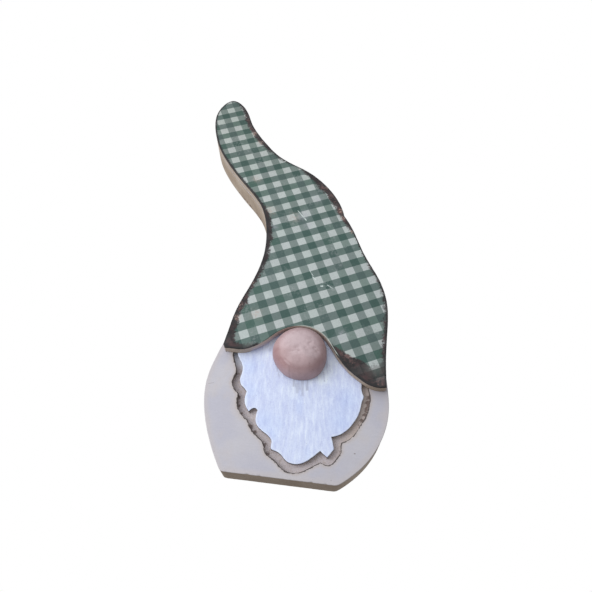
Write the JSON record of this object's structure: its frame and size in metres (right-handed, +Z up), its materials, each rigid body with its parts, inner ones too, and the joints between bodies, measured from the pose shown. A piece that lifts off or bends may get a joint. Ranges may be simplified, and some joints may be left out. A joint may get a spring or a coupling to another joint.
{
  "type": "gnome figurine",
  "caption": "Flat standing gnome of glued wooden layers, with a leaning hat faced in checked paper, a ragged white beard set in a groove and a round wooden nose.",
  "frame": {"origin": "middle of the flat sawn foot that the figure stands on", "axes": "+X to the right of someone facing the figure, +Y towards its back, +Z up"},
  "size_m": [0.0859, 0.0169, 0.1659],
  "materials": {
    "bare_board": "fine-grained board, bare and slightly browned on its sawn edges",
    "grey_paint": "matt pale lilac-grey paint on the front, bare sawn edges, brown stain along the window",
    "white_paint": "thin cool-white paint brushed downwards, grey showing between the strokes",
    "inked_plate": "bare sawn plate with dark brown ink rubbed on its edges",
    "checked_paper": "green and off-white checked paper under a thin varnish, dark ink smudged in from the edges",
    "pink_paint": "dusty pink satin paint over a turned wooden dome, with small dents"
  },
  "bodies": {
    "root": {"back_board": "bare_board", "body_panel": "grey_paint", "beard": "white_paint", "hat_plate": "inked_plate", "hat_paper": "checked_paper", "nose": "pink_paint"}
  },
  "joints": []
}
